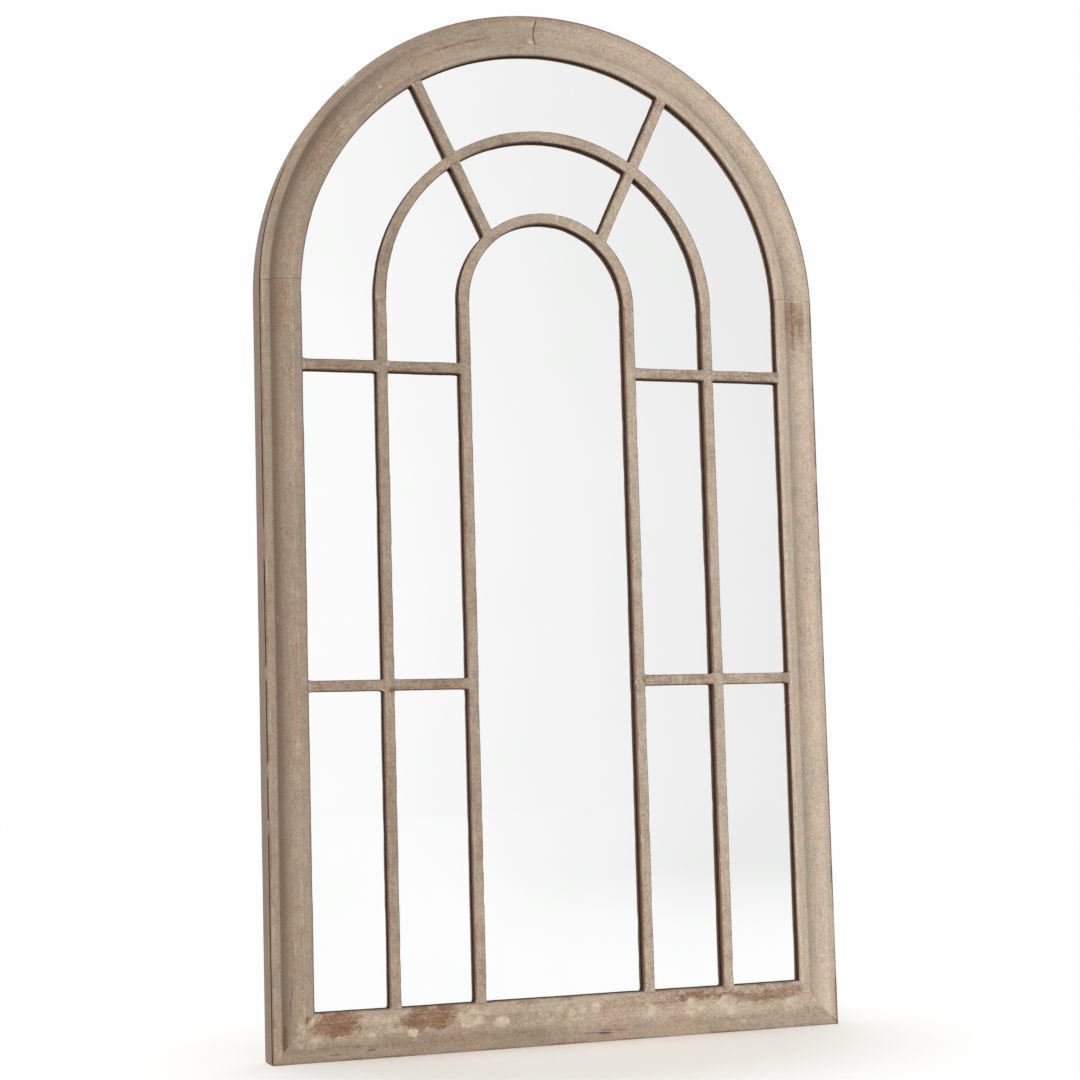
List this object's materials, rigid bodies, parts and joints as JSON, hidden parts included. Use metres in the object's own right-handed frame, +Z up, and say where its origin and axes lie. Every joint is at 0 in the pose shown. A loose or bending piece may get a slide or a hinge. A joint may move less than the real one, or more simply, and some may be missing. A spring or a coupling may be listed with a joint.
{
  "type": "arched window mirror",
  "caption": "Arched mirror in a moulded, lime-washed wooden frame with a window lattice over one sheet; stands on its bottom rail or hangs from D-rings.",
  "frame": {"origin": "middle of the bottom rail's underside, halfway between the front and the back of the wooden frame", "axes": "+Z up, the front with the lattice faces -Y, the back with the hangers faces +Y, +X to the right seen from the front"},
  "size_m": [0.8, 0.0533, 1.405],
  "materials": {
    "limed_frame": "lime-washed pine, rubbed back and worn at the edges",
    "limed_bars": "lime-washed pine bars",
    "limed_band": "lime-washed thin wooden strip",
    "mirror_silver": "silvered float glass",
    "hardboard": "raw brown hardboard",
    "beech": "raw beech dowel",
    "zinc_steel": "bright zinc-plated steel"
  },
  "bodies": {
    "mirror_frame": {"stile_left": "limed_frame", "stile_right": "limed_frame", "bottom_rail": "limed_frame", "arch_left": "limed_frame", "arch_right": "limed_frame", "edge_band_arch": "limed_band", "edge_band_left": "limed_band", "edge_band_right": "limed_band", "middle_arch_left": "limed_bars", "middle_arch_right": "limed_bars", "middle_leg_left": "limed_bars", "middle_leg_right": "limed_bars", "inner_arch_left": "limed_bars", "inner_arch_right": "limed_bars", "inner_leg_left": "limed_bars", "inner_leg_right": "limed_bars", "slant_bar_outer_left": "limed_bars", "slant_bar_outer_right": "limed_bars", "slant_bar_inner_left": "limed_bars", "slant_bar_inner_right": "limed_bars", "upper_bar_outer_left": "limed_bars", "upper_bar_outer_right": "limed_bars", "upper_bar_inner_left": "limed_bars", "upper_bar_inner_right": "limed_bars", "lower_bar_outer_left": "limed_bars", "lower_bar_outer_right": "limed_bars", "lower_bar_inner_left": "limed_bars", "lower_bar_inner_right": "limed_bars", "mirror_sheet": "mirror_silver", "backing_board": "hardboard", "crown_dowel_1": "beech", "crown_dowel_2": "beech", "springing_dowel_left_1": "beech", "springing_dowel_left_2": "beech", "mitre_dowel_left": "beech", "springing_dowel_right_1": "beech", "springing_dowel_right_2": "beech", "mitre_dowel_right": "beech", "board_screw_01": "zinc_steel", "board_screw_02": "zinc_steel", "board_screw_03": "zinc_steel", "board_screw_04": "zinc_steel", "board_screw_05": "zinc_steel", "board_screw_06": "zinc_steel", "board_screw_07": "zinc_steel", "board_screw_08": "zinc_steel", "board_screw_09": "zinc_steel", "board_screw_10": "zinc_steel", "board_screw_11": "zinc_steel", "board_screw_12": "zinc_steel", "strap_screw_left_1": "zinc_steel", "strap_screw_left_2": "zinc_steel", "strap_screw_right_1": "zinc_steel", "strap_screw_right_2": "zinc_steel", "hanger_strap_left": "zinc_steel", "hanger_strap_right": "zinc_steel"},
    "ring_left": {"hanger_ring_left": "zinc_steel"},
    "ring_right": {"hanger_ring_right": "zinc_steel"}
  },
  "joints": [
    {"name": "ring_left_hinge", "type": "hinge", "parent": "mirror_frame", "child": "ring_left", "pos_m": [-0.3805, 0.0266, 0.94], "axis": [1, 0, 0], "range_deg": [0, 175]},
    {"name": "ring_right_hinge", "type": "hinge", "parent": "mirror_frame", "child": "ring_right", "pos_m": [0.3805, 0.0266, 0.94], "axis": [1, 0, 0], "range_deg": [0, 175]}
  ]
}
